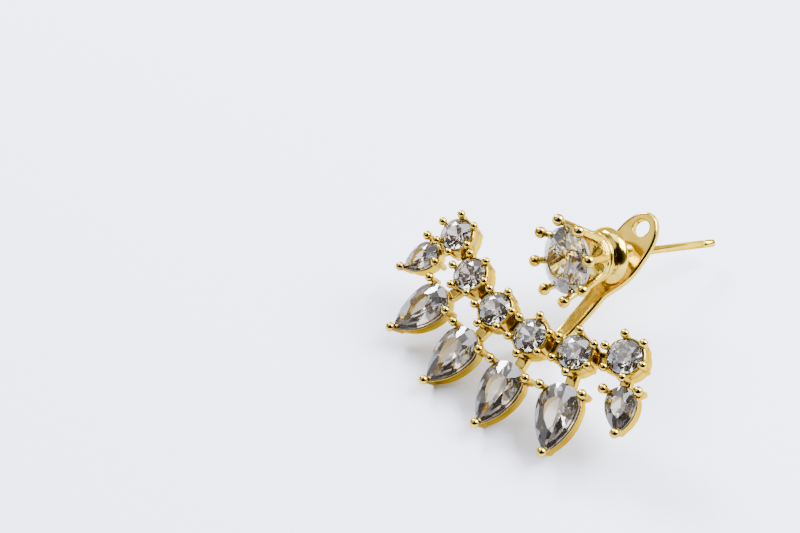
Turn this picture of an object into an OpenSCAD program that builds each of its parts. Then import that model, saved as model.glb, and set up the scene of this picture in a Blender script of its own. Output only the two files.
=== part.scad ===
/* [Stud] */
// Diameter of the round stone in the stud
stud_stone_d = 6.0; // [5.6:0.1:6.2]
// Number of prongs on the stud's crown
stud_prongs = 8; // [6:1:8]
// Radius of the circle that the stud's prong balls stand on
stud_prong_r = 3.6; // [3.5:0.05:3.8]
// Radius of each prong ball on the stud
stud_ball_r = 0.46; // [0.4:0.02:0.5]
// Diameter of the ear post
post_d = 0.75; // [0.7:0.05:0.8]
// Length of the ear post behind the front of the plate
post_l = 11.8; // [9:0.2:13]
// How far the loose stud nods forward in its hole, in degrees
stud_nod = 28; // [24:1:30]
// How far the loose stud leans to one side, in degrees
stud_lean = -10; // [-12:1:0]

/* [Row of round stones] */
// Diameter of each round stone in the row
round_d = 3.0; // [2.8:0.05:3.05]
// Radius of the arc through the middles of the round settings
row_r = 17.25; // [16:0.25:20]
// Angle from one round setting to the next
row_step = 14.7; // [14.5:0.1:16]
// Radius of the circle that a round setting's prong balls stand on
cup_prong_r = 1.88; // [1.86:0.01:1.92]
// Radius of each prong ball on a round setting
cup_ball_r = 0.33; // [0.3:0.01:0.36]

/* [Pear stones] */
// Width of a large pear stone
pear_w = 3.8; // [3.6:0.1:4]
// Length of a large pear stone
pear_l = 5.9; // [5.4:0.1:6.2]
// Width of a small pear stone
small_w = 2.7; // [2.5:0.1:2.9]
// Length of a small pear stone
small_l = 3.8; // [3.6:0.1:4.2]
// Distance from a round setting's middle to a large pear's shoulder prongs
pear_drop = 3.35; // [3.2:0.05:3.6]
// Distance from a round setting's middle to a small pear's shoulder prongs
small_drop = 2.75; // [2.7:0.05:3]
// Radius of each prong ball on a pear setting
pear_ball_r = 0.38; // [0.34:0.02:0.42]

/* [Plate and arm] */
// Thickness of the plate and of the arm
plate_t = 0.8; // [0.7:0.05:0.9]
// Half of the plate's greatest width
plate_half_w = 2.05; // [1.95:0.05:2.2]
// Diameter of each hole in the plate
hole_d = 1.6; // [1.5:0.05:1.7]
// Distance between the two holes
hole_pitch = 2.65; // [2.6:0.05:2.9]
// Width of the arm just below the plate
arm_w = 1.64; // [1.5:0.02:1.8]
// Lean of the plate towards the row, in degrees
plate_lean = 9.5; // [8:0.5:11]
// Inside radius of the hook that goes under the ear lobe
hook_r = 3.0; // [2.8:0.1:3.2]

/* [Hidden] */
ROUND_NODES = [for (i = [1:6]) str("round_stone_", i)];
PEAR_NODES = [for (i = [1:6]) str("pear_stone_", i)];

gold = "#d9b34a";
stone = "#e4e4ea";

// Heights are counted from the plane of the round settings' prong balls.
// The row's plane is X-Y, with Y towards the ear and Z towards the viewer.

// Shared small amounts: an edge's break, an overlap in the metal, a cutter's run past it
edge = 0.12;
weld = 0.2;
past = 1;

// Round settings
cup_rod_r = 0.25;
cup_wall_r = 1.72;
cup_bore_r = 1.30;
cup_back = -2.4;
cup_rim = -0.62;
cup_girdle = -0.32;
cup_rod_foot = -2.05;
cup_seat = 0.15;

// Bars that join the settings, seen from the front and in depth
link_w = 1.3;
link_back = -2.25;
link_front = -1.5;
link_start = 1.45;
stem_w = 1.0;

// Pear settings
shoulder_angle = 33;
shoulder_out = 0.42;
tip_out = 0.2;
pear_rod_r = 0.3;
pear_back = -1.9;
pear_rim = -0.8;
pear_girdle = -0.42;
pear_wall_out = 0.06;
pear_wall_in = 0.4;
pear_rod_foot = 0.28;
tip_rod_in = 0.12;
tab_t = 0.6;
pear_steps = 9;

// One row for each pear setting: width, length, drop, height, slope and turn
WIDTH = 0;
LENGTH = 1;
DROP = 2;
HEIGHT = 3;
SLOPE = 4;
TURN = 5;
INNER_PEAR = [pear_w, pear_l, pear_drop, -0.07, 2.8, 0];
MIDDLE_PEAR = [pear_w, pear_l, pear_drop, -0.13, 4.1, 0];
OUTER_PEAR = [small_w, small_l, small_drop, -0.6, 6.2, -6.2];
function pear_at(i) =
    let (k = abs(i - 3.5))
    k < 1 ? INNER_PEAR : k < 2 ? MIDDLE_PEAR : OUTER_PEAR;
function row_angle(i) = (i - 3.5) * row_step;
function side(i) = i < 3.5 ? -1 : 1;

// Plate and arm: the upper hole's middle on the front face, and the outline up the plate
upper_hole = [14.35, -7.55];
leaf_top = 4.25;
leaf_high = 0.8;
leaf_low = -0.5;
leaf_neck = -4.6;
neck_ease = 0.7;
leaf_steps = 14;
arm_low = -13.2;
arm_low_half_w = 0.6;
arm_depth = 12;
arm_behind = 3;
plate_up = [cos(plate_lean), sin(plate_lean)];
plate_out = [-sin(plate_lean), cos(plate_lean)];
lower_hole = upper_hole - hole_pitch * plate_up;

// Arm: a long shallow bow, then the hook, in the Y-Z plane
bow_r = 18;
arm_start = 2.4;
join_y = 0.5;
arm_steps = 8;
bow_top = lower_hole - arm_start * plate_up;
bow_mid = bow_top + bow_r * plate_out;
hook_turn = asin((bow_mid[0] - hook_r - join_y) / (bow_r - hook_r));
hook_mid = bow_mid - (bow_r - hook_r) * [sin(hook_turn), cos(hook_turn)];
foot_w = 2.6;
foot_h = 1.5;
foot_t = 0.7;
foot_back = -2.7;

// Stud, along its own axis from the front of the plate. Its axis crosses the middle
// of the lower hole half-way through the plate.
stud_way = plate_t / 2 / (cos(stud_nod) * cos(stud_lean));
boss_back = 1.45;
boss_mid = 1.85;
boss_front = 2.75;
boss_r = 2.6;
boss_front_r = 2.25;
boss_round_r = 0.4;
neck_r = 2.0;
neck_back = 2.85;
ridge_r = 2.3;
ridge_back = 3.15;
ridge_front = 3.45;
groove_r = 2.1;
crown_back = 3.65;
crown_base_r = 2.45;
crown_floor = 3.95;
crown_base = 4.0;
crown_sill = 4.4;
crown_top = 6.0;
crown_half_t = 0.15;
CROWN_GAP = [[0.45, 0], [0.68, 0.35], [0.9, 0.9], [1.06, 1.8], [1.06, 2.4]];
prong_plane = 7.3;
prong_foot = 3.8;
prong_foot_r = 2.105;
prong_lean = atan2(stud_prong_r - prong_foot_r, prong_plane - prong_foot);
function prong_r(z) = prong_foot_r + (z - prong_foot) * tan(prong_lean);
stud_rod_r = 0.26;
stud_girdle = 6.65;
stud_spin = 25.7;
post_root_r = 0.45;
post_root_l = 2.6;
notch_at = 10.3;
notch_half = 0.16;
notch_depth = 0.1;
post_end_round = 0.15;
post_in_boss = 0.3;

// Cut of the stones, as parts of the diameter
table_part = 0.56;
crown_part = 0.16;
star_part = 0.82;
star_rise = 0.55;
pavilion_part = 0.43;
culet_part = 0.04;
girdle_t = 0.08;
slice_t = 0.02;
pear_pavilion = 1.4;
pear_crown = 0.55;
pear_culet_d = 0.15;
pear_culet_part = 0.15;

// How it lies: the floor meets the inner pears' backs and the hook's heel
function round_mid_y(p) = -(p[WIDTH] / 2 + shoulder_out) * sin(shoulder_angle);
function stone_tip_y(p) = round_mid_y(p) - (p[LENGTH] - p[WIDTH] / 2);
function on_row(y, z) = [
    row_r * (1 - cos(row_step / 2)) + y * cos(row_step / 2),
    z
];
function on_inner_pear(y, z) = on_row(
    -pear_drop + y * cos(INNER_PEAR[SLOPE]) - z * sin(INNER_PEAR[SLOPE]),
    INNER_PEAR[HEIGHT] + y * sin(INNER_PEAR[SLOPE]) + z * cos(INNER_PEAR[SLOPE])
);
toe = on_inner_pear(stone_tip_y(INNER_PEAR) - pear_wall_out, pear_back);
heel_way = hook_mid - toe;
heel_swing = asin((hook_r + plate_t) / norm(heel_way));
lie = heel_swing - atan2(heel_way[1], heel_way[0]);
function lain(p) = [
    p[0] * cos(lie) - p[1] * sin(lie),
    p[0] * sin(lie) + p[1] * cos(lie)
];
front_ball = on_inner_pear(stone_tip_y(INNER_PEAR) - tip_out, 0);
front_y = lain(front_ball)[0] - pear_ball_r;
post_dir = [
    -sin(stud_lean) * cos(stud_nod),
    sin(stud_nod) * cos(plate_lean) + cos(stud_nod) * cos(stud_lean) * sin(plate_lean),
    sin(stud_nod) * sin(plate_lean) - cos(stud_nod) * cos(stud_lean) * cos(plate_lean)
];
hole_middle = lower_hole - plate_t / 2 * plate_out;
post_end = lain(hole_middle + (post_l - stud_way) * [post_dir[1], post_dir[2]])[0];
post_tilt_y = lain([post_dir[1], post_dir[2]])[0];
back_y = post_end + (post_d / 2 - post_end_round) * sqrt(1 - post_tilt_y * post_tilt_y);

// Lays the whole earring on the floor, centred over the origin
module lying() {
    translate([0, -(front_y + back_y) / 2, -lain(toe)[1]])
        rotate([lie, 0, 0])
            children();
}

// Puts a part at setting i of the row
module at_row(i) {
    translate([0, row_r, 0])
        rotate([0, 0, row_angle(i)])
            translate([0, -row_r, 0])
                children();
}

// Puts a part at pear setting i, with its origin between the shoulder prongs
module at_pear(i) {
    p = pear_at(i);
    at_row(i)
        rotate([0, 0, side(i) * p[TURN]])
            translate([0, -p[DROP], p[HEIGHT]])
                rotate([p[SLOPE], 0, 0])
                    children();
}

// Puts a part on the plate: X across, Y up the plate, origin in the lower hole
module on_plate() {
    translate([0, lower_hole[0], lower_hole[1]])
        rotate([plate_lean, 0, 0])
            children();
}

// Puts a part on the stud's own axis, as it leans in the hole
module on_stud() {
    on_plate()
        translate([0, 0, -plate_t / 2])
            rotate([0, stud_lean, 0])
                rotate([stud_nod, 0, 0])
                    translate([0, 0, stud_way])
                        children();
}

// A straight rod with a ball on its top end
module prong(rod_r, ball_r, foot_z, top_z) {
    translate([0, 0, foot_z])
        cylinder(r = rod_r, h = top_z - foot_z, $fn = 24);
    translate([0, 0, top_z])
        sphere(r = ball_r, $fn = 24);
}

// Outline of a pear stone grown by d, as points round its edge
function pear_side_r(p) =
    let (w = p[WIDTH], run = p[LENGTH] - w / 2)
    (w * w / 4 + run * run) / w;
function pear_side_end(p) = acos(1 - p[WIDTH] / 2 / pear_side_r(p));
function pear_right(p, d) =
    let (r = pear_side_r(p), end = pear_side_end(p))
    [for (k = [0:pear_steps])
        let (a = end * k / pear_steps)
        [p[WIDTH] / 2 - r + (r + d) * cos(a), round_mid_y(p) - (r + d) * sin(a)]];
function pear_round(p, d) =
    [for (k = [1:2 * pear_steps - 1])
        let (a = 180 - 180 * k / (2 * pear_steps))
        [(p[WIDTH] / 2 + d) * cos(a), round_mid_y(p) + (p[WIDTH] / 2 + d) * sin(a)]];
function pear_left(p, d) =
    let (right = pear_right(p, d))
    [for (k = [0:pear_steps]) let (q = right[pear_steps - k]) [-q[0], q[1]]];
function pear_outline(p, d) =
    concat([for (q = pear_right(p, d)) if (q[0] > 0.001) q],
           [for (q = pear_left(p, d)) if (q[0] < -0.001) q],
           pear_round(p, d));

// One round setting: a cup with six ball prongs
module round_setting() {
    rotate_extrude($fn = 48)
        polygon([
            [cup_bore_r, cup_back],
            [cup_wall_r - edge, cup_back],
            [cup_wall_r, cup_back + edge],
            [cup_wall_r, cup_rim],
            [cup_bore_r + edge, cup_rim],
            [cup_bore_r, cup_rim - cup_seat]
        ]);
    for (k = [0:5])
        rotate([0, 0, 90 + 60 * k])
            translate([cup_prong_r, 0, 0])
                prong(cup_rod_r, cup_ball_r, cup_rod_foot, 0);
}

// Bar between two neighbouring round settings
module row_link() {
    chord = 2 * row_r * sin(row_step / 2);
    translate([0, row_r, 0])
        rotate([0, 0, row_step / 2])
            translate([-chord / 2 + link_start, -row_r * cos(row_step / 2) - link_w / 2, link_back])
                cube([chord - 2 * link_start, link_w, link_front - link_back]);
}

// One pear setting: a wall round the stone's underside and three ball prongs
module pear_setting(p) {
    rod_foot = pear_back + pear_rod_foot;
    reach = p[WIDTH] / 2 + shoulder_out;
    tab_start = p[WIDTH] / 2 - pear_wall_in + edge;
    difference() {
        translate([0, 0, pear_back])
            linear_extrude(pear_rim - pear_back)
                polygon(pear_outline(p, pear_wall_out));
        translate([0, 0, pear_back - past])
            linear_extrude(pear_rim - pear_back + 2 * past)
                polygon(pear_outline(p, -pear_wall_in));
    }
    for (s = [-1, 1]) {
        translate([s * reach * cos(shoulder_angle), 0, 0])
            prong(pear_rod_r, pear_ball_r, rod_foot, 0);
        translate([0, round_mid_y(p), rod_foot])
            rotate([0, 0, 90 - s * (90 - shoulder_angle)])
                translate([tab_start, -pear_rod_r, 0])
                    cube([reach - tab_start, 2 * pear_rod_r, tab_t]);
    }
    translate([0, stone_tip_y(p) - tip_out + tip_rod_in, 0])
        prong(pear_rod_r, pear_ball_r, rod_foot, 0);
}

// Short bar from a round setting to its pear
module pear_stem(i) {
    p = pear_at(i);
    top = p[DROP] - round_mid_y(p) - p[WIDTH] / 2;
    at_row(i)
        rotate([0, 0, side(i) * p[TURN]])
            translate([-stem_w / 2, -top - weld, link_back])
                cube([stem_w, top + weld - link_start, link_front - link_back]);
}

// Front outline of the plate and the arm, in the plate's own plane
function leaf_half_w(u) =
    let (t = (u - leaf_neck) / (leaf_low - leaf_neck))
    arm_w / 2 + (plate_half_w - arm_w / 2) * (1 - cos(180 * pow(t, neck_ease))) / 2;
function strap_right() = concat(
    [[arm_low_half_w, arm_low]],
    [for (k = [0:leaf_steps])
        let (u = leaf_neck + (leaf_low - leaf_neck) * k / leaf_steps)
        [leaf_half_w(u), u]],
    [for (k = [0:leaf_steps - 1])
        let (a = 90 * k / leaf_steps)
        [plate_half_w * cos(a), leaf_high + (leaf_top - leaf_high) * sin(a)]]
);
function strap_outline() =
    let (right = strap_right(), n = len(right))
    concat(right, [[0, leaf_top]],
           [for (k = [1:n]) let (q = right[n - k]) [-q[0], q[1]]]);

// Side outline of plate and arm: down along the front face, back up along the rear
function bow_line(d) =
    [for (k = [0:arm_steps])
        let (a = -plate_lean + (hook_turn + plate_lean) * k / arm_steps)
        bow_mid - (bow_r + d) * [sin(a), cos(a)]];
function hook_line(d) =
    [for (k = [1:arm_steps])
        let (a = hook_turn + (90 - hook_turn) * k / arm_steps)
        hook_mid - (hook_r + d) * [sin(a), cos(a)]];
function strap_line(d) = concat(
    [lower_hole + (leaf_top + past) * plate_up - d * plate_out],
    bow_line(d),
    hook_line(d),
    [[join_y - d, link_front - weld]]
);
function reversed(v) = [for (k = [1:len(v)]) v[len(v) - k]];

// Plate with its two holes, the arm and the hook, as one bent strap
module strap() {
    difference() {
        intersection() {
            rotate([90, 0, 90])
                translate([0, 0, -plate_half_w - past])
                    linear_extrude(2 * (plate_half_w + past))
                        polygon(concat(strap_line(0), reversed(strap_line(plate_t))));
            on_plate()
                translate([0, 0, -arm_behind])
                    linear_extrude(arm_behind + arm_depth)
                        polygon(strap_outline());
        }
        on_plate()
            for (u = [0, hole_pitch])
                translate([0, u, -plate_t - past])
                    cylinder(d = hole_d, h = plate_t + 2 * past, $fn = 48);
    }
}

// Foot of the hook, soldered to the back of the row
module foot() {
    translate([-foot_w / 2, join_y - plate_t / 2 - foot_h / 2, foot_back])
        cube([foot_w, foot_h, foot_t]);
}

// The jacket: plate, arm and row of settings, cast in one
module jacket() {
    color(gold)
        lying() {
            strap();
            foot();
            for (i = [1:6]) {
                at_row(i) round_setting();
                at_pear(i) pear_setting(pear_at(i));
                pear_stem(i);
            }
            for (i = [1:5])
                at_row(i) row_link();
        }
}

// Turned part of the stud: the boss, ridge and crown wall
module stud_body() {
    rotate_extrude($fn = 64)
        polygon(concat(
            [[0, boss_back], [boss_r - boss_round_r, boss_back]],
            [for (a = [-60:30:-30])
                [boss_r - boss_round_r * (1 - cos(a)), boss_mid + boss_round_r * sin(a)]],
            [for (a = [0:15:90])
                [boss_front_r + (boss_r - boss_front_r) * cos(a),
                 boss_mid + (boss_front - boss_mid) * sin(a)]],
            [
                [neck_r, neck_back],
                [neck_r, ridge_back - edge],
                [ridge_r, ridge_back],
                [ridge_r, ridge_front],
                [groove_r, ridge_front],
                [groove_r, crown_back],
                [crown_base_r, crown_back],
                [crown_base_r, crown_base],
                [prong_r(crown_base) + crown_half_t, crown_base],
                [prong_r(crown_top) + crown_half_t, crown_top],
                [prong_r(crown_top) - crown_half_t, crown_top],
                [prong_r(crown_floor) - crown_half_t, crown_floor],
                [0, crown_floor]
            ]
        ));
}

// Opening between two prongs of the crown, cut outwards from the middle
module crown_opening() {
    translate([0, 0, crown_sill])
        rotate([90, 0, 90])
            linear_extrude(stud_prong_r + past)
                polygon(concat(CROWN_GAP, reversed([for (q = CROWN_GAP) [-q[0], q[1]]])));
}

// One leaning prong of the stud, from the crown wall to its ball
module stud_prong() {
    translate([prong_foot_r, 0, prong_foot])
        rotate([0, prong_lean, 0])
            cylinder(r = stud_rod_r, h = (prong_plane - prong_foot) / cos(prong_lean), $fn = 24);
    translate([stud_prong_r, 0, prong_plane])
        sphere(r = stud_ball_r, $fn = 32);
}

// Ear post with a tapered root and a catch notch near its end
module post() {
    r = post_d / 2;
    rotate_extrude($fn = 48)
        polygon([
            [0, boss_back + post_in_boss],
            [post_root_r, boss_back + post_in_boss],
            [r, -post_root_l],
            [r, -notch_at + notch_half],
            [r - notch_depth, -notch_at],
            [r, -notch_at - notch_half],
            [r, -post_l + post_end_round],
            [r - post_end_round, -post_l],
            [0, -post_l]
        ]);
}

// The stud's metal: crown, boss and post, soldered into one
module stud_setting() {
    step = 360 / stud_prongs;
    color(gold)
        lying()
            on_stud() {
                difference() {
                    stud_body();
                    for (k = [0:stud_prongs - 1])
                        rotate([0, 0, stud_spin + step * (k + 0.5)])
                            crown_opening();
                }
                for (k = [0:stud_prongs - 1])
                    rotate([0, 0, stud_spin + step * k])
                        stud_prong();
                post();
            }
}

// Round brilliant with its girdle at height zero
module brilliant(d) {
    hull() {
        rotate([0, 0, 22.5])
            translate([0, 0, crown_part * d - slice_t])
                cylinder(d = table_part * d, h = slice_t, $fn = 8);
        translate([0, 0, crown_part * d * star_rise])
            cylinder(d = star_part * d, h = slice_t, $fn = 8);
        translate([0, 0, -girdle_t / 2])
            cylinder(d = d, h = girdle_t, $fn = 16);
        translate([0, 0, -pavilion_part * d])
            cylinder(d = culet_part * d, h = slice_t, $fn = 8);
    }
}

// Pear brilliant with its girdle at height zero
module pear_brilliant(p) {
    shrink = p[WIDTH] / 2 * (1 - table_part);
    depth = pear_pavilion * p[WIDTH] / pear_w;
    rise = pear_crown * p[WIDTH] / pear_w;
    hull() {
        translate([0, 0, rise - slice_t])
            linear_extrude(slice_t)
                polygon(pear_outline(p, -shrink));
        translate([0, 0, -girdle_t / 2])
            linear_extrude(girdle_t)
                polygon(pear_outline(p, -slice_t));
        translate([0, round_mid_y(p) - pear_culet_part * p[WIDTH], -depth])
            cylinder(d = pear_culet_d, h = slice_t, $fn = 6);
    }
}

module stud_stone() {
    color(stone)
        lying()
            on_stud()
                rotate([0, 0, stud_spin])
                    translate([0, 0, stud_girdle])
                        brilliant(stud_stone_d);
}

module round_stone(i) {
    color(stone)
        lying()
            at_row(i)
                translate([0, 0, cup_girdle])
                    brilliant(round_d);
}

module pear_stone(i) {
    color(stone)
        lying()
            at_pear(i)
                translate([0, 0, pear_girdle])
                    pear_brilliant(pear_at(i));
}

jacket();
stud_setting();
stud_stone();
for (i = [1:6]) {
    round_stone(i);
    pear_stone(i);
}
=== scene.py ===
# %% [markdown]
# # A gold ear jacket with a solitaire stud
# An ear jacket is worn in two parts. A stud with a large round stone sits on the front of the
# lobe. Its post goes through the ear and then through a plate behind it, and from that plate an
# arm bends under the lobe and carries a curved fan of small stones. Everything here is modelled
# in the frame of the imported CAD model, so a piece goes where the solids say.

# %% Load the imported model
from collections import namedtuple
from math import acos, cos, hypot, pi, radians, sin, sqrt
import bmesh
import bpy
from mathutils import Matrix, Vector


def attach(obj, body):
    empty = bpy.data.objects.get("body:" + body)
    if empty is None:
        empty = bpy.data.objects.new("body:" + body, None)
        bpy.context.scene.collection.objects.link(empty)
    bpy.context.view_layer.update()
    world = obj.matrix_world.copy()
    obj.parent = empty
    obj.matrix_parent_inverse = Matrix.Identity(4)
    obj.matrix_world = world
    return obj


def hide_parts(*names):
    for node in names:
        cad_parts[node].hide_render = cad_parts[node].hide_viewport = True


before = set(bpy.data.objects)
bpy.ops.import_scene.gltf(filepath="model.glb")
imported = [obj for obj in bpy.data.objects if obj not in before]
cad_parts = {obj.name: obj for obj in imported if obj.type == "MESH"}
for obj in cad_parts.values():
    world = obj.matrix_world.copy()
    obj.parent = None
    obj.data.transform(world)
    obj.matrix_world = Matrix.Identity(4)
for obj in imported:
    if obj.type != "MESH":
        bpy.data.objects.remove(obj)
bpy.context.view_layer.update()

# %% [markdown]
# ## Working in millimetres
# Jewellery is measured in tenths of a millimetre, so each mesh is built in millimetres and is
# made metres only when it is finished. Blender's voxel remesh takes no voxel under 0.0001 of a
# unit, which in metres would be a coarse 0.1 mm, so it too is run before that step.
#
# Every part of the earring has its own place: a setting turns about the middle of the row's arc,
# the plate leans, and the loose stud leans further in its hole. A place is one matrix.

# %% Places of the parts
MM = 0.001


def shift(x, y, z):
    return Matrix.Translation((x, y, z))


def turn(degrees, axis):
    return Matrix.Rotation(radians(degrees), 4, axis)


# How the whole earring lies: on the backs of two pears and on the heel of its hook
LYING = shift(0, -8.84666, 6.40078) @ turn(32.78336, "X")

# The row: radius and step of its arc, and the place of its middle in the count from 1 to 6
ROW_R = 17.25
ROW_STEP = 14.7
ROW_MIDDLE = 3.5
PLATE_LEAN = 9.5
LOWER_HOLE = Vector((0, 11.7363, -7.9874))
HOLE_PITCH = 2.65
HOLE_R = 0.8
PLATE_T = 0.8
ON_PLATE = LYING @ Matrix.Translation(LOWER_HOLE) @ turn(PLATE_LEAN, "X")
# The stud sways and leans in its hole until the edge of its boss rests on the plate
STUD_SWAY, STUD_LEAN, STUD_SLID = -10, 28, 0.46
ON_STUD = (ON_PLATE @ shift(0, 0, -PLATE_T / 2) @ turn(STUD_SWAY, "Y") @ turn(STUD_LEAN, "X")
           @ shift(0, 0, STUD_SLID))

# Drop is how far a pear hangs below its round stone, rise how far it stands above the row
Pear = namedtuple("Pear", "width length drop rise slope angle")
INNER_PEAR = Pear(3.8, 5.9, 3.35, -0.07, 2.8, 0)
MIDDLE_PEAR = Pear(3.8, 5.9, 3.35, -0.13, 4.1, 0)
OUTER_PEAR = Pear(2.7, 3.8, 2.75, -0.6, 6.2, -6.2)
PEARS = {1: OUTER_PEAR, 2: MIDDLE_PEAR, 3: INNER_PEAR, 4: INNER_PEAR, 5: MIDDLE_PEAR, 6: OUTER_PEAR}


def at_round(i):
    """Place of round setting number i."""
    along = (i - ROW_MIDDLE) * ROW_STEP
    return LYING @ shift(0, ROW_R, 0) @ turn(along, "Z") @ shift(0, -ROW_R, 0)


def under_round(i):
    """The same place, turned towards its pear."""
    side = -1 if i < ROW_MIDDLE else 1
    return at_round(i) @ turn(side * PEARS[i].angle, "Z")


def at_pear(i):
    """Place of pear setting number i, by the middle of its shoulder prongs."""
    return under_round(i) @ shift(0, -PEARS[i].drop, PEARS[i].rise) @ turn(PEARS[i].slope, "X")


print("stud axis:", [round(v, 3) for v in (ON_STUD.to_3x3() @ Vector((0, 0, 1)))])

# %% [markdown]
# ## The camera
# The photograph was taken with a short telephoto view, from the right of the fan and well above
# it. The camera's place was worked out from where the prong balls fall in the picture, so it is
# the photograph's own viewing angle, set over a plain floor.

# %% Camera
CAMERA_AT = Vector((57.567, -63.975, 83.405)) * MM
CAMERA_RIGHT = Vector((0.63323895, 0.77285744, -0.04122875))
CAMERA_UP = Vector((-0.49322317, 0.44402638, 0.74804511))
CAMERA_BACK = CAMERA_RIGHT.cross(CAMERA_UP).normalized()

camera_data = bpy.data.cameras.new("camera")
camera_data.sensor_fit = "HORIZONTAL"
camera_data.sensor_width = 36
camera_data.lens = 58.17
camera_data.clip_start = 0.002
camera_data.clip_end = 10
camera = bpy.data.objects.new("camera", camera_data)
bpy.context.scene.collection.objects.link(camera)
axes = Matrix((CAMERA_RIGHT, CAMERA_UP, CAMERA_BACK)).transposed().to_4x4()
camera.matrix_world = Matrix.Translation(CAMERA_AT) @ axes
bpy.context.scene.camera = camera
print("camera looks back along", [round(v, 3) for v in CAMERA_BACK])

# %% [markdown]
# ## Colours and nodes
# Colours are given as sRGB hex values, as on any colour chart, and Blender wants them linear.
# One function turns them. A second adds a node, sets it and links it.

# %% Colours and nodes
def colour(hex_value):
    """Linear RGBA of an sRGB hex value."""
    channels = [int(hex_value[k:k + 2], 16) / 255 for k in (1, 3, 5)]
    return [c / 12.92 if c <= 0.04045 else ((c + 0.055) / 1.055) ** 2.4 for c in channels] + [1]


def add_node(tree, kind, settings=None, **links):
    """A node with its inputs or options set, and its sockets linked by name."""
    node = tree.nodes.new(kind)
    for key, value in (settings or {}).items():
        if key in node.inputs:
            node.inputs[key].default_value = value
        else:
            setattr(node, key, value)
    for socket, source in links.items():
        tree.links.new(source, node.inputs[socket.replace("_", " ")])
    return node


def new_material(name):
    """A material, its node tree and its shader."""
    material = bpy.data.materials.new(name)
    material.use_nodes = True
    shader = material.node_tree.nodes["Principled BSDF"]
    return material, material.node_tree, shader


GOLD_DEEP, GOLD_PALE = "#BDA23C", "#C9AF4D"
print("gold in linear light:", [round(c, 3) for c in colour(GOLD_DEEP)])

# %% [markdown]
# The patterns of all the materials are noises. A noise's scale is one over a real size, so its
# marks keep that size on every piece. A ramp turns a noise into colours, a spread turns it into
# roughness, and a blend lays one colour over another.

# %% Patterns
def noise(tree, size, detail):
    """A noise whose marks have a real size in metres."""
    place = add_node(tree, "ShaderNodeTexCoord").outputs["Object"]
    return add_node(tree, "ShaderNodeTexNoise", {"Scale": 1 / size, "Detail": detail},
                    Vector=place).outputs["Fac"]


def ramp(tree, factor, *stops):
    """Runs through stops of (position, colour) as the factor rises."""
    node = add_node(tree, "ShaderNodeValToRGB", Fac=factor)
    elements = node.color_ramp.elements
    elements[0].position, elements[0].color = stops[0]
    elements[1].position, elements[1].color = stops[-1]
    for at, tone in stops[1:-1]:
        elements.new(at).color = tone
    return node.outputs["Color"]


def spread(tree, factor, low, high):
    """Spreads a factor from 0 to 1 over low to high."""
    return add_node(tree, "ShaderNodeMapRange", {"To Min": low, "To Max": high},
                    Value=factor).outputs["Result"]


def blend(tree, factor, first, second):
    """Goes from the first colour to the second as the factor rises."""
    mix = add_node(tree, "ShaderNodeMix", {"data_type": "RGBA"})
    tree.links.new(factor, mix.inputs[0])
    for socket, value in ((mix.inputs[6], first), (mix.inputs[7], second)):
        if isinstance(value, list):
            socket.default_value = value
        else:
            tree.links.new(value, socket)
    return mix.outputs[2]


print("scale of a noise with marks of 1 mm:", 1 / MM)

# %% [markdown]
# ## Polished gold plating
# The metal is cast brass with a thin layer of pale yellow gold. It was tumbled and buffed, then
# plated, so it is a mirror with a slightly soft skin: long, shallow waves from the buffing wheel
# about a millimetre apart, and a fine grain left from casting. Both are bumps in the shader. The
# grain is really some hundredths of a millimetre, and is drawn at 0.12 mm so that it shows.
#
# The specular tint is a yellow too. It is the colour that a metal's reflection takes at a shallow
# angle, and where it is left white, every rounded edge gets a pale outline.

# %% Gold plating
BUFFING_WAVE, WAVE_HEIGHT = 1.1 * MM, 0.02 * MM
CAST_GRAIN, GRAIN_HEIGHT = 0.12 * MM, 0.004 * MM

gold_plating, tree, shader = new_material("polished_gold_plating")
waves = noise(tree, BUFFING_WAVE, 1.0)
grain = noise(tree, CAST_GRAIN, 2.0)
buffed = add_node(tree, "ShaderNodeBump", {"Strength": 0.5, "Distance": WAVE_HEIGHT}, Height=waves)
cast_skin = add_node(tree, "ShaderNodeBump", {"Strength": 0.12, "Distance": GRAIN_HEIGHT},
                     Height=grain, Normal=buffed.outputs["Normal"])
tint = ramp(tree, waves, (0.35, colour(GOLD_DEEP)), (0.65, colour(GOLD_PALE)))
gloss = spread(tree, grain, 0.08, 0.18)
shader.inputs["Metallic"].default_value = 1.0
shader.inputs["Specular Tint"].default_value = colour("#DCBC52")
tree.links.new(cast_skin.outputs["Normal"], shader.inputs["Normal"])
print("made", gold_plating.name)

# %% [markdown]
# A buffing wheel can't reach in between the settings, so their walls are left satin, which is
# a rougher finish. They are also painted a little browner, and that brown is painted shade on the
# walls between the settings. The stations carry an attribute, `depth`, which says how far below
# the row's stones a point lies, and a ramp picks out the band of the walls for both. The other
# pieces have no such attribute, so it reads 0 there and they are polished and unshaded all over.

# %% Unbuffed walls with painted shade
ROUGHER_BY = 0.12
NO, YES = colour("#000000"), colour("#FFFFFF")

depth = add_node(tree, "ShaderNodeAttribute", {"attribute_name": "depth"}).outputs["Fac"]
satin_and_painted_shade = ramp(tree, depth, (0.2, NO), (0.4, YES), (0.52, YES), (0.6, NO))
# The brown #A48A52 blended in here is painted shade on the walls between the settings; the
# roughness below is their real satin finish.
tint_with_painted_shade = blend(tree, satin_and_painted_shade, tint, colour("#A48A52"))
satin = add_node(tree, "ShaderNodeMath", {"operation": "MULTIPLY_ADD"})
tree.links.new(satin_and_painted_shade, satin.inputs[0])
satin.inputs[1].default_value = ROUGHER_BY
tree.links.new(gloss, satin.inputs[2])
tree.links.new(tint_with_painted_shade, shader.inputs["Base Color"])
tree.links.new(satin.outputs["Value"], shader.inputs["Roughness"])
print("nodes in the gold:", len(tree.nodes))
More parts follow.
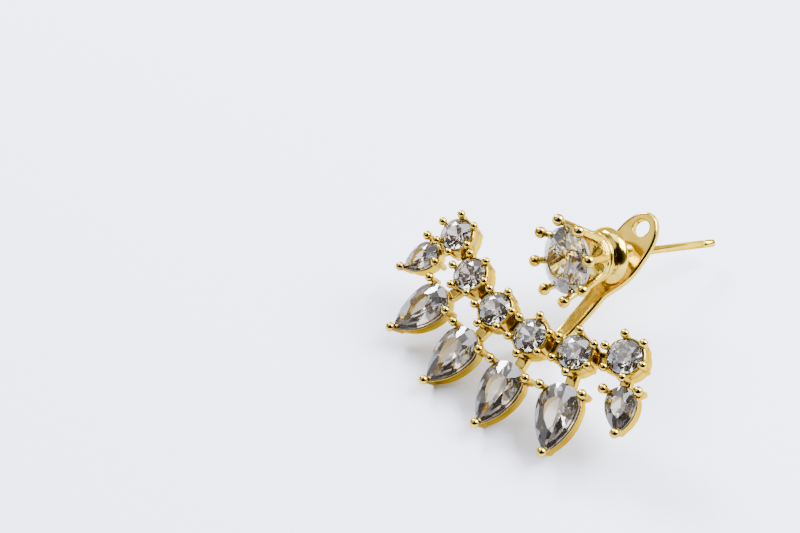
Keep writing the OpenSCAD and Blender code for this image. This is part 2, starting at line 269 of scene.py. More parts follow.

# %% [markdown]
# ## Cut cubic zirconia
# The stones are cubic zirconia, a clear crystal with an index of refraction of about 2.17. It
# bends light so strongly that most of it is turned back inside the pavilion, and that is what
# makes bright and dark patches out of a plain room. The facets are ground flat and polished. The
# girdle, the narrow band round the edge, is left ground and so looks frosted, and its grey-brown
# colour is painted shade. The stones are tinted a warm grey that changes over a millimetre or
# two, and that tint is painted shade, which darkens and warms what is seen through them.

# %% Stone materials
ZIRCONIA_IOR = 2.17
SHADE_TINT_PATCH = 1.6 * MM
GIRDLE_GRIT = 0.1 * MM

zirconia, tree, shader = new_material("cut_cubic_zirconia")
# The warm grey tint of the stones is painted shade.
painted_shade_tint = ramp(tree, noise(tree, SHADE_TINT_PATCH, 1.0), (0, colour("#ACA598")), (1, colour("#CCC7BF")))
tree.links.new(painted_shade_tint, shader.inputs["Base Color"])
shader.inputs["Transmission Weight"].default_value = 0.97
shader.inputs["IOR"].default_value = ZIRCONIA_IOR
shader.inputs["Roughness"].default_value = 0.015

ground_girdle_painted_shade, tree, shader = new_material("ground_girdle_painted_shade")
matt = spread(tree, noise(tree, GIRDLE_GRIT, 2.0), 0.35, 0.6)
tree.links.new(matt, shader.inputs["Roughness"])
# The girdle's grey-brown colour is painted shade; its roughness is the real ground finish.
shader.inputs["Base Color"].default_value = colour("#B9AE9A")
shader.inputs["Transmission Weight"].default_value = 1.0
shader.inputs["IOR"].default_value = ZIRCONIA_IOR
print("made", zirconia.name, "and", ground_girdle_painted_shade.name)

# %% [markdown]
# ## Making a piece
# A casting has no sharp inside corners: wax rods and cups are melted together, and the metal
# keeps that soft skin. The same is done here. Each piece starts as simple closed shells that
# run into each other, a voxel remesh melts them into one skin, and a few smoothing passes leave
# small fillets where they met. The ear post and the stones skip that and keep their crisp edges.

# %% Finishing a piece
def keep_modifiers(thing):
    """Makes what the modifiers show the object's own mesh."""
    graph = bpy.context.evaluated_depsgraph_get()
    shown = bpy.data.meshes.new_from_object(thing.evaluated_get(graph))
    old = thing.data
    thing.modifiers.clear()
    thing.data = shown
    bpy.data.meshes.remove(old)


def new_object(name, shells):
    """An object in the scene whose mesh is made of a bmesh."""
    mesh = bpy.data.meshes.new(name)
    shells.to_mesh(mesh)
    shells.free()
    thing = bpy.data.objects.new(name, mesh)
    bpy.context.scene.collection.objects.link(thing)
    return thing


def make_piece(name, shells, body, materials, voxel=None, passes=4, sharp=None):
    """Turns a bmesh in millimetres into a finished piece in metres, riding on its body.

    With a voxel size it is melted and smooth, with a sharp angle it is smooth up to that angle,
    and with neither its faces stay flat.
    """
    piece = new_object(name, shells)
    for material in materials:
        piece.data.materials.append(material)
    if voxel:
        melt = piece.modifiers.new("melt", "REMESH")
        melt.mode = "VOXEL"
        melt.voxel_size = voxel
        soften = piece.modifiers.new("soften", "SMOOTH")
        soften.factor = 0.5
        soften.iterations = passes
        keep_modifiers(piece)
    piece.data.transform(Matrix.Scale(MM, 4))
    if voxel or sharp:
        piece.data.shade_smooth()
    if sharp:
        piece.data.set_sharp_from_angle(angle=radians(sharp))
    piece.data.name = name
    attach(piece, body)
    print(f"{name}: {sum(len(p.vertices) - 2 for p in piece.data.polygons)} triangles")
    return piece


# %% [markdown]
# ## Prongs, bars and turned shapes
# Nearly all of this earring is three simple forms. A prong is a round wire with a ball melted on
# its end. A cup or a boss is turned, like a bowl on a lathe: a few points of its outline are spun
# once round. A bar is a stretched cube.

# %% Basic shapes
def spun(bm, outline, place, steps=96, closed=True):
    """Spins (radius, height) points once round the place's own Z axis."""
    others = set(bm.verts)
    points = [bm.verts.new((r, 0, z)) for r, z in outline]
    ring = points[1:] + points[:1] if closed else points[1:]
    edges = [bm.edges.new(pair) for pair in zip(points, ring)]
    bmesh.ops.spin(bm, geom=points + edges, cent=(0, 0, 0), axis=(0, 0, 1), dvec=(0, 0, 0),
                   angle=2 * pi, steps=steps, use_merge=True, use_duplicate=False)
    new = [v for v in bm.verts if v not in others]
    bmesh.ops.remove_doubles(bm, verts=new, dist=0.0005)
    new = [v for v in bm.verts if v not in others]
    bmesh.ops.transform(bm, matrix=place, verts=new)


Wire = namedtuple("Wire", "foot top ball")


def prong(bm, place, foot, top, radii, ball_out=0):
    """A round wire from foot to top with a ball on its end, at the top or further out along -Y."""
    foot, top = Vector(foot), Vector(top)
    way = top - foot
    along = way.to_track_quat("Z", "Y").to_matrix().to_4x4()
    bmesh.ops.create_cone(bm, cap_ends=True, segments=24, radius1=radii.foot, radius2=radii.top,
                          depth=way.length,
                          matrix=place @ Matrix.Translation((foot + top) / 2) @ along)
    end = top - Vector((0, ball_out, 0))
    bmesh.ops.create_icosphere(bm, subdivisions=4, radius=radii.ball,
                               matrix=place @ Matrix.Translation(end))


def bar(bm, place, low, high):
    """A square bar between two corners."""
    low, high = Vector(low), Vector(high)
    size = high - low
    bmesh.ops.create_cube(bm, size=1, matrix=place @ Matrix.Translation((low + high) / 2)
                          @ Matrix.Diagonal((*size, 1)))


trial = bmesh.new()
prong(trial, Matrix.Identity(4), (0, 0, -2), (0, 0, 0), Wire(0.2, 0.2, 0.4))
print("faces in a prong:", len(trial.faces))
trial.free()

# %% [markdown]
# ## Outline of a pear
# A pear stone's outline is three arcs: half a circle at the round end and a longer arc down each
# side to the tip. Spinning a single vertex draws an arc, so three spins give the whole outline.
# A pear is placed by the middle of its two shoulder prongs, so its round end lies a little below.

# %% Pear outline
# How far the shoulder prongs stand off the stone's edge, and their angle above its round end
PEAR_PRONG_OUT = 0.42
PEAR_PRONG_ANGLE = 33
Arcs = namedtuple("Arcs", "middle run side_r")


def pear_arcs(pear):
    """Place of the round end's middle along Y, its run to the tip and radius of the side arcs."""
    middle = -(pear.width / 2 + PEAR_PRONG_OUT) * sin(radians(PEAR_PRONG_ANGLE))
    run = pear.length - pear.width / 2
    side_r = (pear.width * pear.width / 4 + run * run) / pear.width
    return Arcs(middle, run, side_r)


def pear_edge_r(pear, x, y):
    """Distance from the round end's middle to a pear's edge, towards x, y."""
    side_r = pear_arcs(pear).side_r
    if y >= 0:
        return pear.width / 2
    x /= hypot(x, y)
    arc_x = pear.width / 2 - side_r
    return abs(x) * arc_x + sqrt(x * x * arc_x * arc_x + side_r * side_r - arc_x * arc_x)


def pear_edges(bm, pear, swell, height):
    """The outline of a pear that is swollen by so much, at a height."""
    arcs = pear_arcs(pear)
    side_r = arcs.side_r + swell
    arc_x = pear.width / 2 - arcs.side_r
    swing = acos(-arc_x / side_r)
    others = set(bm.edges)
    start = bm.verts.new((0, arcs.middle - side_r * sin(swing), height))
    last = start
    for centre_x, angle, steps in ((arc_x, swing, 20), (0, pi, 36), (-arc_x, swing, 20)):
        spin = bmesh.ops.spin(bm, geom=[last], cent=(centre_x, arcs.middle, height),
                              axis=(0, 0, 1), dvec=(0, 0, 0), angle=angle, steps=steps,
                              use_merge=False, use_duplicate=False)
        last = spin["geom_last"][0]
    bmesh.ops.pointmerge(bm, verts=[start, last], merge_co=start.co)
    return [e for e in bm.edges if e not in others]


trial = bmesh.new()
print("edges in a pear's outline:", len(pear_edges(trial, INNER_PEAR, 0, 0)))
trial.free()

# %% [markdown]
# The wall of a pear's setting is that outline, swollen a little, filled, inset by the wall's
# thickness and pulled down. Its inner edge is drawn in towards the back, so the seat under the
# stone is a funnel of gold with a small opening, and that gold is what shows through the stone.

# %% Pear wall
PEAR_SWELL = 0.06
PEAR_WALL_T = 0.4
PEAR_RIM, PEAR_BACK = -0.62, -1.9
BACK_TAPER = (0.96, 0.96, 1)
SEAT_TAPER = (0.4, 0.45, 1)
# Both draw in towards a point this far below the round end's middle
TAPER_BELOW = 0.8
# A point of the back is on the inside where it is within this share of the outline
INNER_SHARE = 0.93


def pear_wall(bm, pear, place):
    """The wall under a pear stone, drawn in a little towards its back."""
    others = set(bm.verts)
    outline = pear_edges(bm, pear, PEAR_SWELL, PEAR_RIM)
    filled = bmesh.ops.edgeloop_fill(bm, edges=outline)["faces"]
    ring = bmesh.ops.inset_region(bm, faces=filled, thickness=PEAR_WALL_T, use_even_offset=True,
                                  use_boundary=True)["faces"]
    core = [f for f in filled if f.is_valid and f not in ring]
    bmesh.ops.delete(bm, geom=core, context="FACES_ONLY")
    pulled = bmesh.ops.extrude_face_region(bm, geom=ring)["geom"]
    back = [g for g in pulled if isinstance(g, bmesh.types.BMVert)]
    middle = pear_arcs(pear).middle
    about = shift(0, -(middle - TAPER_BELOW), 0)
    bmesh.ops.translate(bm, verts=back, vec=(0, 0, PEAR_BACK - PEAR_RIM))
    bmesh.ops.scale(bm, verts=back, vec=BACK_TAPER, space=about)
    inner = [v for v in back if hypot(v.co.x, v.co.y - middle)
             < INNER_SHARE * pear_edge_r(pear, v.co.x, v.co.y - middle)]
    bmesh.ops.scale(bm, verts=inner, vec=SEAT_TAPER, space=about)
    new = [v for v in bm.verts if v not in others]
    bmesh.ops.recalc_face_normals(bm, faces=list({f for v in new for f in v.link_faces}))
    bmesh.ops.transform(bm, matrix=place, verts=new)


trial = bmesh.new()
pear_wall(trial, INNER_PEAR, Matrix.Identity(4))
print("volume of a pear's wall:", round(trial.calc_volume(), 2), "cubic mm")
trial.free()

# %% [markdown]
# ## One station of the row
# A station is a round cup with six ball prongs, a pear basket with three below it, and the bars
# that join them. It could be one mesh for the whole row, but a casting that is remeshed finely
# has many faces, so each of the six stations is a piece of its own. Their bars run into each
# other, and the joins don't show.

# %% Cup and basket
CUP_OUTLINE = [(0.75, -2.4), (1.60, -2.4), (1.70, -2.3), (1.72, -2.15), (1.72, -0.5), (1.68, -0.42),
               (1.60, -0.38), (1.52, -0.48), (0.75, -1.2)]
CUP_PRONG_FOOT, CUP_PRONG_TOP = (1.64, 0, -2.25), (1.88, 0, 0)
CUP_PRONG = Wire(0.23, 0.25, 0.39)
SHOULDER_PRONG = Wire(0.3, 0.27, 0.43)
TIP_PRONG = Wire(0.32, 0.3, 0.43)
SHOULDER_FOOT_Z, TIP_FOOT_Z = PEAR_BACK + 0.2, PEAR_BACK + 0.15
# The tip's prong stands off the stone, leans in towards its foot and has its ball a little out
TIP_OUT, TIP_LEAN, TIP_BALL_OUT = 0.08, 0.3, 0.02
# A tab joins each shoulder prong to the wall, and begins inside the stone's edge
TAB_IN, TAB_HALF_WIDTH = 0.28, 0.28
TAB_BACK, TAB_FRONT = PEAR_BACK + 0.28, PEAR_BACK + 0.9


def round_cup(bm, place):
    """A turned cup with six ball prongs round it."""
    spun(bm, CUP_OUTLINE, place)
    for k in range(6):
        around = place @ turn(90 + 60 * k, "Z")
        prong(bm, around, CUP_PRONG_FOOT, CUP_PRONG_TOP, CUP_PRONG)


def pear_basket(bm, pear, place):
    """A pear's wall with a prong at each shoulder, on a small tab, and one at the tip."""
    arcs = pear_arcs(pear)
    reach = pear.width / 2 + PEAR_PRONG_OUT
    pear_wall(bm, pear, place)
    for side in (-1, 1):
        x = side * reach * cos(radians(PEAR_PRONG_ANGLE))
        prong(bm, place, (x, 0, SHOULDER_FOOT_Z), (x, 0, 0), SHOULDER_PRONG)
        tab = place @ shift(0, arcs.middle, 0) @ turn(90 - side * (90 - PEAR_PRONG_ANGLE), "Z")
        bar(bm, tab, (pear.width / 2 - TAB_IN, -TAB_HALF_WIDTH, TAB_BACK),
            (reach, TAB_HALF_WIDTH, TAB_FRONT))
    tip = arcs.middle - arcs.run - TIP_OUT
    prong(bm, place, (0, tip + TIP_LEAN, TIP_FOOT_Z), (0, tip, 0), TIP_PRONG, TIP_BALL_OUT)


print("rim of a cup:", max(r for r, z in CUP_OUTLINE), "mm from its middle")

# %% [markdown]
# One stem goes down from each cup to its pear, and one link goes across to the next cup. After
# the melt, every point of a station is told how deep it lies, for the satin finish and the
# painted shade of the walls.

# %% Six stations
LINK_BACK, LINK_FRONT = -2.25, -1.5
LINK_HALF_WIDTH = 0.65
STEM_HALF_WIDTH = 0.5
# Bars begin in a cup's wall, this far from its middle, and a stem ends this far in the pear's
BAR_FROM, INTO_PEAR = 1.45, 0.2
FULL_DEPTH = 2.5
JACKET_VOXEL = 0.055


def station(i):
    """Cup, basket and stem number i, with the link to the next."""
    bm = bmesh.new()
    round_cup(bm, at_round(i))
    pear = PEARS[i]
    pear_basket(bm, pear, at_pear(i))
    stem = pear.drop - pear_arcs(pear).middle - pear.width / 2
    bar(bm, under_round(i), (-STEM_HALF_WIDTH, -stem - INTO_PEAR, LINK_BACK),
        (STEM_HALF_WIDTH, -BAR_FROM, LINK_FRONT))
    if i < len(PEARS):
        half = ROW_R * sin(radians(ROW_STEP / 2))
        away = ROW_R * cos(radians(ROW_STEP / 2))
        between = LYING @ shift(0, ROW_R, 0) @ turn((i + 0.5 - ROW_MIDDLE) * ROW_STEP, "Z")
        bar(bm, between, (-half + BAR_FROM, -away - LINK_HALF_WIDTH, LINK_BACK),
            (half - BAR_FROM, -away + LINK_HALF_WIDTH, LINK_FRONT))
    return bm


def mark_depth(piece):
    """Writes each point's depth below the row's stones, as a share of the full depth."""
    height = (LYING.inverted() @ Matrix.Scale(1 / MM, 4)).row[2]
    depths = [-(height.xyz.dot(v.co) + height.w) / FULL_DEPTH for v in piece.data.vertices]
    piece.data.attributes.new("depth", "FLOAT", "POINT").data.foreach_set("value", depths)


for i in PEARS:
    piece = make_piece(f"station_{i}", station(i), "jacket_body", [gold_plating],
                       voxel=JACKET_VOXEL)
    mark_depth(piece)
    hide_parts("jacket")

# %% [markdown]
# ## The plate, the arm and the hook
# Behind the lobe sits a flat leaf with two holes. It narrows to an arm, which bows gently and
# then hooks forward under the lobe to the back of the row. It is one strip of metal of one
# thickness, and only its width changes: the top of the leaf is half an ellipse, its sides run
# straight past the lower hole and ease into the arm, and the arm narrows slowly to its end.
# Heights are measured up the plate from the lower hole.

# %% Width of the strip
LEAF_MIDDLE, LEAF_RISE, LEAF_HALF_WIDTH = 0.8, 3.45, 2.05
# The ellipse is blunt at the very top, where it keeps this share of its width
LEAF_BLUNT = 0.03
EASE_TOP, EASE_END, EASE_POWER = -0.5, -4.6, 0.7
ARM_HALF_WIDTH, ARM_END_HALF_WIDTH, ARM_END = 0.82, 0.6, -13.2


def strip_half_width(u):
    """Half the strip's width at the height u."""
    if u > LEAF_MIDDLE:
        rise = (u - LEAF_MIDDLE) / LEAF_RISE
        return LEAF_HALF_WIDTH * sqrt(max(1 - rise ** 2, LEAF_BLUNT ** 2))
    if u > EASE_TOP:
        return LEAF_HALF_WIDTH
    if u > EASE_END:
        ease = ((u - EASE_END) / (EASE_TOP - EASE_END)) ** EASE_POWER
        return ARM_HALF_WIDTH + (LEAF_HALF_WIDTH - ARM_HALF_WIDTH) * (1 - cos(pi * ease)) / 2
    along = (u - ARM_END) / (EASE_END - ARM_END)
    return ARM_END_HALF_WIDTH + (ARM_HALF_WIDTH - ARM_END_HALF_WIDTH) * along


for u in (0, -3, -8):
    print("strip is", round(2 * strip_half_width(u), 2), "mm wide at height", u)

# %% [markdown]
# The strip is drawn as its front face. An edge is pulled down the plate, spun through the bow and
# the hook, and pulled on to the back of the row. Each of its points is then moved out to the
# strip's width there, and the face is given its thickness. The long edges are rounded, as filing
# and tumbling leave them. A small foot joins the end to the row.

# %% Plate and arm
BOW_TOP, BOW_R = -2.4, 18
HOOK_R, HOOK_TURN = 3.0, 11.141
STRIP_FRONT = -1.7
EDGE_R = 0.27
FOOT = (-1.3, -0.65, -2.7), (1.3, 0.85, -2.0)
plate_up = Vector((0, cos(radians(PLATE_LEAN)), sin(radians(PLATE_LEAN))))
plate_out = Vector((0, -sin(radians(PLATE_LEAN)), cos(radians(PLATE_LEAN))))
hook_out = Vector((0, sin(radians(HOOK_TURN)), cos(radians(HOOK_TURN))))
bow_mid = LOWER_HOLE + BOW_TOP * plate_up + BOW_R * plate_out
hook_mid = bow_mid - (BOW_R - HOOK_R) * hook_out


def pull_edge(bm, edge, vec):
    """Pulls an edge out into a face and gives the new edge."""
    pulled = bmesh.ops.extrude_edge_only(bm, edges=[edge])["geom"]
    edge = next(g for g in pulled if isinstance(g, bmesh.types.BMEdge))
    bmesh.ops.translate(bm, verts=list(edge.verts), vec=vec)
    return edge


strip = bmesh.new()
heights = [LEAF_MIDDLE + LEAF_RISE * sin(radians(a)) for a in range(89, 0, -4)]
heights += [LEAF_MIDDLE - 0.2 * k for k in range(16)] + [BOW_TOP]
top = LOWER_HOLE + heights[0] * plate_up
edge = strip.edges.new([strip.verts.new(top + Vector((x, 0, 0))) for x in (-1, 1)])
for before, after in zip(heights, heights[1:]):
    edge = pull_edge(strip, edge, (after - before) * plate_up)
for middle, degrees, steps in ((bow_mid, PLATE_LEAN + HOOK_TURN, 24),
                               (hook_mid, 90 - HOOK_TURN, 20)):
    spin = bmesh.ops.spin(strip, geom=[edge, *edge.verts], cent=middle, axis=(-1, 0, 0),
                          dvec=(0, 0, 0), angle=radians(degrees), steps=steps, use_merge=False,
                          use_duplicate=False)
    edge = next(g for g in spin["geom_last"] if isinstance(g, bmesh.types.BMEdge))
pull_edge(strip, edge, (0, 0, STRIP_FRONT - edge.verts[0].co.z))
for v in strip.verts:
    v.co.x *= strip_half_width((v.co - LOWER_HOLE).dot(plate_up))
bmesh.ops.remove_doubles(strip, verts=strip.verts, dist=0.0005)
bmesh.ops.recalc_face_normals(strip, faces=strip.faces)
# The plate's faces have to look out to the front before the thickness is put behind them
if sum(f.normal.dot(plate_out) for f in strip.faces if f.calc_center_median().y > 8) < 0:
    bmesh.ops.reverse_faces(strip, faces=strip.faces)
bmesh.ops.solidify(strip, geom=list(strip.faces), thickness=PLATE_T)
rims = [e for e in strip.edges if len(e.link_faces) == 2 and e.calc_face_angle() > radians(60)]
bmesh.ops.bevel(strip, geom=rims, affect="EDGES", offset=EDGE_R, segments=5, profile=0.5,
                material=-1)
print("strip box:", [round(min(v.co[k] for v in strip.verts), 3) for k in range(3)],
      [round(max(v.co[k] for v in strip.verts), 3) for k in range(3)])
bmesh.ops.transform(strip, matrix=LYING, verts=strip.verts)
bar(strip, LYING, *FOOT)

# %% [markdown]
# The two holes are drilled. The drill is a pair of cylinders that go right through the plate, and a
# boolean takes them away from the strip before the remesh, so the holes' rims are softened too.

# %% Drill the plate
drills = bmesh.new()
for up in (0, HOLE_PITCH):
    bmesh.ops.create_cone(drills, cap_ends=True, segments=64, radius1=HOLE_R, radius2=HOLE_R,
                          depth=3, matrix=ON_PLATE @ shift(0, up, -PLATE_T / 2))
drill = new_object("drill", drills)
blank = new_object("strip_blank", strip)
cut = blank.modifiers.new("drill", "BOOLEAN")
cut.operation = "DIFFERENCE"
cut.solver = "EXACT"
cut.use_self = True
cut.object = drill
keep_modifiers(blank)
drilled = bmesh.new()
drilled.from_mesh(blank.data)
for spare in (drill, blank):
    bpy.data.objects.remove(spare)
plate_and_arm = make_piece("plate_and_arm", drilled, "jacket_body", [gold_plating],
                           voxel=JACKET_VOXEL, passes=6)
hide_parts("jacket")

# %% [markdown]
# ## The stud's crown and boss
# The stud is a crown of eight prongs over a turned base: a rounded boss that stops against the
# ear, a groove, a fine ridge and the ring that the crown grows from. The crown's wall is a thin
# cone with eight windows. It is spun as one surface, the faces in the windows are taken out, and
# what is left gets its thickness.

# %% Outlines of the crown and boss
BOSS_OUTLINE = [(0, 1.45), (2.2, 1.45), (2.4, 1.52), (2.54, 1.66), (2.6, 1.85), (2.58, 2.1),
                (2.5, 2.35), (2.38, 2.58), (2.2, 2.75), (2.04, 2.85), (2.0, 2.95), (2.04, 3.06),
                (2.26, 3.14), (2.31, 3.24), (2.31, 3.38), (2.26, 3.46), (2.12, 3.5), (2.12, 3.62),
                (2.38, 3.67), (2.46, 3.76), (2.46, 3.92), (2.34, 4.05), (2.05, 4.05), (1.9, 3.95),
                (0, 3.95)]
PRONG_FOOT = Vector((2.105, 0, 3.8))
PRONG_TOP = Vector((3.6, 0, 7.3))
WINDOW_SILL = 4.4
# height above the sill and half width there
WINDOW = [(0.0, 0.3), (0.12, 0.42), (0.35, 0.56), (0.9, 0.78), (1.8, 0.98), (3.0, 1.05)]


def prong_r(z):
    """How far a prong's middle is from the stud's axis at a height."""
    out, up = PRONG_TOP.x - PRONG_FOOT.x, PRONG_TOP.z - PRONG_FOOT.z
    return PRONG_FOOT.x + (z - PRONG_FOOT.z) * out / up


def window_half_width(z):
    """Half a window's width at a height, which is under 0 below its sill."""
    above = z - WINDOW_SILL
    if above < 0:
        return -1
    for (z0, w0), (z1, w1) in zip(WINDOW, WINDOW[1:]):
        if above <= z1:
            return w0 + (w1 - w0) * (above - z0) / (z1 - z0)
    return WINDOW[-1][1]


print("half a window is", round(window_half_width(5.3), 2), "mm wide at height 5.3")

# %% [markdown]
# The windows are cut by taking out every small face of the wall whose middle lies inside one of
# the eight window outlines. The prongs stand between the windows.

# %% Build the crown
PRONGS = 8
PRONG_STEP = 360 / PRONGS
STUD_SPIN = 25.7
CROWN_PRONG = Wire(0.37, 0.31, 0.55)
CROWN_WALL_FOOT, CROWN_WALL_STEP, CROWN_WALL_T = 3.9, 0.06, 0.3
CROWN_VOXEL = 0.06

crown = bmesh.new()
levels = [CROWN_WALL_FOOT + CROWN_WALL_STEP * k for k in range(38)]
spun(crown, [(prong_r(z) + CROWN_WALL_T / 2, z) for z in levels], Matrix.Identity(4), steps=288,
     closed=False)
windows = set()
for face in crown.faces:
    middle = face.calc_center_median()
    for k in range(PRONGS):
        beside = turn(-(STUD_SPIN + PRONG_STEP / 2 + PRONG_STEP * k), "Z") @ middle
        if beside.x > 0 and abs(beside.y) < window_half_width(middle.z):
            windows.add(face)
bmesh.ops.delete(crown, geom=list(windows), context="FACES")
bmesh.ops.recalc_face_normals(crown, faces=crown.faces)
first = next(iter(crown.faces))
if first.normal.dot(first.calc_center_median() * Vector((1, 1, 0))) < 0:
    bmesh.ops.reverse_faces(crown, faces=crown.faces)
bmesh.ops.solidify(crown, geom=list(crown.faces), thickness=CROWN_WALL_T)
bmesh.ops.transform(crown, matrix=ON_STUD, verts=crown.verts)
spun(crown, BOSS_OUTLINE, ON_STUD, steps=144)
for k in range(PRONGS):
    around = ON_STUD @ turn(STUD_SPIN + PRONG_STEP * k, "Z")
    prong(crown, around, PRONG_FOOT, PRONG_TOP, CROWN_PRONG)
stud_crown = make_piece("stud_crown", crown, "stud_body", [gold_plating],
                        voxel=CROWN_VOXEL)
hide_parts("stud_setting")

# %% [markdown]
# ## The ear post
# The post is a drawn wire. It is soldered into the boss, and the solder runs up it in a small
# cone. Near the free end it has a shallow notch, where the nut's spring clicks in. It is turned
# from one outline, and stays separate from the crown so that the wire keeps its crisp notch.

# %% Ear post
SOLDER = [(0, 1.75), (1.9, 1.75), (1.85, 1.45), (1.6, 1.2), (1.3, 0.95), (1.0, 0.74),
          (0.74, 0.57), (0.55, 0.42), (0.443, 0.3), (0.375, -2.6)]
NOTCH = [(0.375, -10.16), (0.35, -10.19), (0.285, -10.27), (0.275, -10.3), (0.285, -10.33),
         (0.35, -10.41), (0.375, -10.44)]
ROUNDED_END = [(0.375, -11.6), (0.36, -11.68), (0.31, -11.75), (0.22, -11.79), (0, -11.8)]

post = bmesh.new()
spun(post, SOLDER + NOTCH + ROUNDED_END, ON_STUD, steps=64)
bmesh.ops.recalc_face_normals(post, faces=post.faces)
ear_post = make_piece("ear_post", post, "stud_body", [gold_plating], sharp=50)
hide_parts("stud_setting")

# %% [markdown]
# ## Cutting the stones
# A brilliant is a set of rings of corners. The table's eight corners are at the top, then come
# the tips of the star facets, the girdle, the tips of the lower facets and the culet. Each ring's
# height is worked out so that the kites between the rings are flat. The convex hull of the
# corners is then the cut stone, as a grinding wheel would leave it.
#
# A pear is cut in the same way and its corners are moved out to the pear's own edge. Its facets
# would be large on the long side, so it gets twelve mains where a round has eight, a smaller
# table, and one more ring of corners that splits each main in the pavilion.

# %% Corners of a stone
# Heights and radii are shares of the girdle's radius
CROWN, PAVILION, GIRDLE = 0.32, 0.86, 0.04
STAR, LOWER, SPLIT = 0.77, 0.36, 0.68
Cut = namedtuple("Cut", "mains table split_out")
ROUND_CUT = Cut(8, 0.54, 0)
PEAR_CUT = Cut(12, 0.47, 0.035)
# A pear's heights are scaled again, and its table is moved by a share of its half width
PEAR_CROWN, PEAR_PAVILION, PEAR_HEART = 0.9, 0.76, -0.3
PEAR_STONE_GAP = 0.02


def cut_corners(bm, cut):
    """Corners of a brilliant whose girdle has radius 1."""
    between = 180 / cut.mains
    star_z = GIRDLE + (CROWN - GIRDLE) * (1 - STAR * cos(radians(between))) / (1 - cut.table)
    lower_z = -GIRDLE - (PAVILION - GIRDLE) * (1 - LOWER * cos(radians(between)))
    rings = [(cut.table, CROWN, cut.mains, 0), (STAR, star_z, cut.mains, between),
             (1, GIRDLE, 4 * cut.mains, 0), (1, -GIRDLE, 4 * cut.mains, 0),
             (LOWER, lower_z, cut.mains, between)]
    if cut.split_out:
        split_z = -GIRDLE - (PAVILION - GIRDLE) * (1 - SPLIT) - cut.split_out
        rings.append((SPLIT, split_z, cut.mains, 0))
    for radius, z, count, offset in rings:
        bmesh.ops.create_circle(bm, segments=count, radius=radius,
                                matrix=shift(0, 0, z) @ turn(offset, "Z"))
    bm.verts.new((0, 0, -PAVILION))


def pear_shaped(bm, pear):
    """Moves the corners of a brilliant out to a pear's edge, and its table towards the tip."""
    half = pear.width / 2
    heart = PEAR_HEART * half
    middle = pear_arcs(pear).middle
    for v in bm.verts:
        rho = hypot(v.co.x, v.co.y)
        x, y = (v.co.x / rho, v.co.y / rho) if rho > 0.001 else (0, 1)
        edge_r = pear_edge_r(pear, x, y) - PEAR_STONE_GAP
        v.co.x = x * edge_r * rho
        v.co.y = middle + heart + (y * edge_r - heart) * rho
        v.co.z *= half * (PEAR_CROWN if v.co.z > 0 else PEAR_PAVILION)


trial = bmesh.new()
cut_corners(trial, ROUND_CUT)
print("corners of a round brilliant:", len(trial.verts))
trial.free()

# %% [markdown]
# The hull's flat places come out as triangles, so a limited dissolve joins them into facets. The
# upright ones are the girdle, which gets the ground material.

# %% Stone cutter
# A facet that is steeper than this is part of the girdle
GIRDLE_NORMAL_Z = 0.12


def cut_stone(name, place, body, radius=None, pear=None):
    """Cuts a round stone of a radius, or else one with a pear's outline."""
    bm = bmesh.new()
    if pear:
        cut_corners(bm, PEAR_CUT)
        pear_shaped(bm, pear)
    else:
        cut_corners(bm, ROUND_CUT)
        bmesh.ops.scale(bm, verts=bm.verts, vec=(radius, radius, radius))
    hull = bmesh.ops.convex_hull(bm, input=bm.verts, use_existing_faces=False)
    spare = [g for g in hull["geom_interior"] + hull["geom_unused"]
             if isinstance(g, bmesh.types.BMVert)]
    bmesh.ops.delete(bm, geom=spare, context="VERTS")
    wires = [e for e in bm.edges if not e.link_faces]
    bmesh.ops.delete(bm, geom=wires, context="EDGES")
    bmesh.ops.dissolve_limit(bm, angle_limit=radians(0.6), verts=bm.verts, edges=bm.edges)
    bmesh.ops.recalc_face_normals(bm, faces=bm.faces)
    for face in bm.faces:
        face.material_index = 1 if abs(face.normal.z) < GIRDLE_NORMAL_Z else 0
    bmesh.ops.transform(bm, matrix=place, verts=bm.verts)
    return make_piece(name, bm, body, [zirconia, ground_girdle_painted_shade])


# %% [markdown]
# The large stone sits in the stud's crown. The row has six small rounds, and below them four
# large pears and a small one at each end.

# %% Set the stones
# height of each stone's girdle in its setting
STUD_SEAT, ROUND_SEAT, PEAR_SEAT = 6.65, -0.32, -0.42
STUD_STONE_R, ROUND_STONE_R = 3.0, 1.46
# every stone of the row is set a little turned against the one before
TURNED = 9

seat = ON_STUD @ shift(0, 0, STUD_SEAT) @ turn(STUD_SPIN, "Z")
stud_gem = cut_stone("stud_gem", seat, "stud_body", radius=STUD_STONE_R)
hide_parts("stud_stone")
for i in PEARS:
    seat = at_round(i) @ shift(0, 0, ROUND_SEAT) @ turn(TURNED * i, "Z")
    gem = cut_stone(f"round_gem_{i}", seat, "jacket_body", radius=ROUND_STONE_R)
    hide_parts(f"round_stone_{i}")
    seat = at_pear(i) @ shift(0, 0, PEAR_SEAT)
    gem = cut_stone(f"pear_gem_{i}", seat, "jacket_body", pear=PEARS[i])
    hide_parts(f"pear_stone_{i}")

# %% [markdown]
# ## Floor and light
# The floor is a plain sheet of matt white card. Its fibres are a faint tooth that keeps it from
# looking like plastic.

# %% Floor
FIBRE, TOOTH = 0.9 * MM, 0.02 * MM

card, tree, shader = new_material("matt_white_card")
fibres = noise(tree, FIBRE, 3.0)
paper = ramp(tree, fibres, (0, colour("#E9EBF5")), (1, colour("#F0F2FB")))
tooth = add_node(tree, "ShaderNodeBump", {"Strength": 0.15, "Distance": TOOTH}, Height=fibres)
tree.links.new(paper, shader.inputs["Base Color"])
tree.links.new(tooth.outputs["Normal"], shader.inputs["Normal"])
shader.inputs["Roughness"].default_value = 0.75

sheet = bmesh.new()
bmesh.ops.create_grid(sheet, x_segments=1, y_segments=1, size=1.2)
floor = new_object("floor", sheet)
floor.data.materials.append(card)
print("floor laid at z =", floor.location.z)

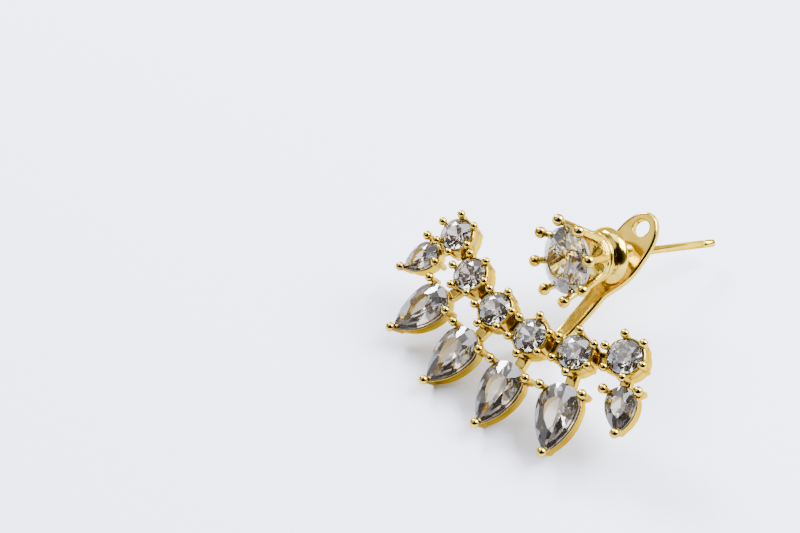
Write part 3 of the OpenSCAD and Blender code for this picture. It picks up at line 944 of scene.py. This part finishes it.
# %% [markdown]
# Three soft lights stand round the earring. A small window to the left draws the bright spots on
# the balls, a large one behind lights the floor and the far sides, and a broad weak one above
# fills the shadows. They are squares, so their reflections in the balls look like windows.

# %% Lights
def soft_light(name, at, size, watts, tone):
    """A square light that looks at the earring."""
    data = bpy.data.lights.new(name, "AREA")
    data.shape = "SQUARE"
    data.size = size
    data.energy = watts
    data.color = colour(tone)[:3]
    light = bpy.data.objects.new(name, data)
    bpy.context.scene.collection.objects.link(light)
    aim = Vector(at).to_track_quat("Z", "Y").to_matrix().to_4x4()
    light.matrix_world = Matrix.Translation(at) @ aim


soft_light("window_left", (-0.33, 0.06, 0.26), 0.14, 3.5, "#F2F4FF")
soft_light("window_behind", (0.19, 0.28, 0.35), 0.36, 12.5, "#EEF2FF")
soft_light("ceiling", (-0.11, 0.10, 0.43), 0.30, 1.6, "#F2F4FF")

# %% [markdown]
# Polished metal and cut stones show mostly what stands around them, so the world is a room and
# not one grey. Cells of different greys stand for its walls and furniture. The side that the
# picture is taken from is dark, and darkest where the camera is, because that is what the middle
# of each ball mirrors. The far wall is pale. A brown patch and two bright ones to the left are
# what the pears' tables and the plate mirror.

# %% Room
ROOM_CELLS, ROOM_STRENGTH = 7.0, 2.6
CAMERA_SIDE = (0.56, -0.52, 0.645)
# way to each part of the room, how near to that way it begins and is full, and its colour
ROOM_PARTS = {
    "shaded side": (CAMERA_SIDE, 0.45, 0.72, "#3C352A"),
    "darkest corner": (CAMERA_SIDE, 0.70, 0.84, "#120C06"),
    "far wall": ((-0.50, 0.70, 0.40), 0.3, 0.8, "#C6C4C2"),
    "brown patch": ((-0.64, -0.49, 0.59), 0.965, 0.99, "#6E5632"),
    "opening": ((-0.25, -0.52, 0.82), 0.93, 0.98, "#DCDCE8"),
    "warm window": ((-0.485, -0.60, 0.635), 0.9877, 0.9976, "#FFF4DC"),
}

world = bpy.data.worlds.new("room_with_windows")
world.use_nodes = True
bpy.context.scene.world = world
tree = world.node_tree
direction = add_node(tree, "ShaderNodeTexCoord").outputs["Generated"]


def side_of_room(way, start, full):
    """How far a direction lies in the part of the room around the given way, from 0 to 1."""
    facing = add_node(tree, "ShaderNodeVectorMath", {"operation": "DOT_PRODUCT"})
    tree.links.new(direction, facing.inputs[0])
    facing.inputs[1].default_value = Vector(way).normalized()
    settings = {"interpolation_type": "SMOOTHSTEP", "From Min": start, "From Max": full}
    return add_node(tree, "ShaderNodeMapRange", settings,
                    Value=facing.outputs["Value"]).outputs["Result"]


furniture = add_node(tree, "ShaderNodeTexVoronoi", {"Scale": ROOM_CELLS, "Randomness": 1.0},
                     Vector=direction)
room = ramp(tree, furniture.outputs["Color"], (0.3, colour("#504C4C")), (0.7, colour("#929298")))
for way, start, full, tone in ROOM_PARTS.values():
    room = blend(tree, side_of_room(way, start, full), room, colour(tone))
tree.links.new(room, tree.nodes["Background"].inputs["Color"])
tree.nodes["Background"].inputs["Strength"].default_value = ROOM_STRENGTH
print(world.name, "has", ", ".join(ROOM_PARTS))
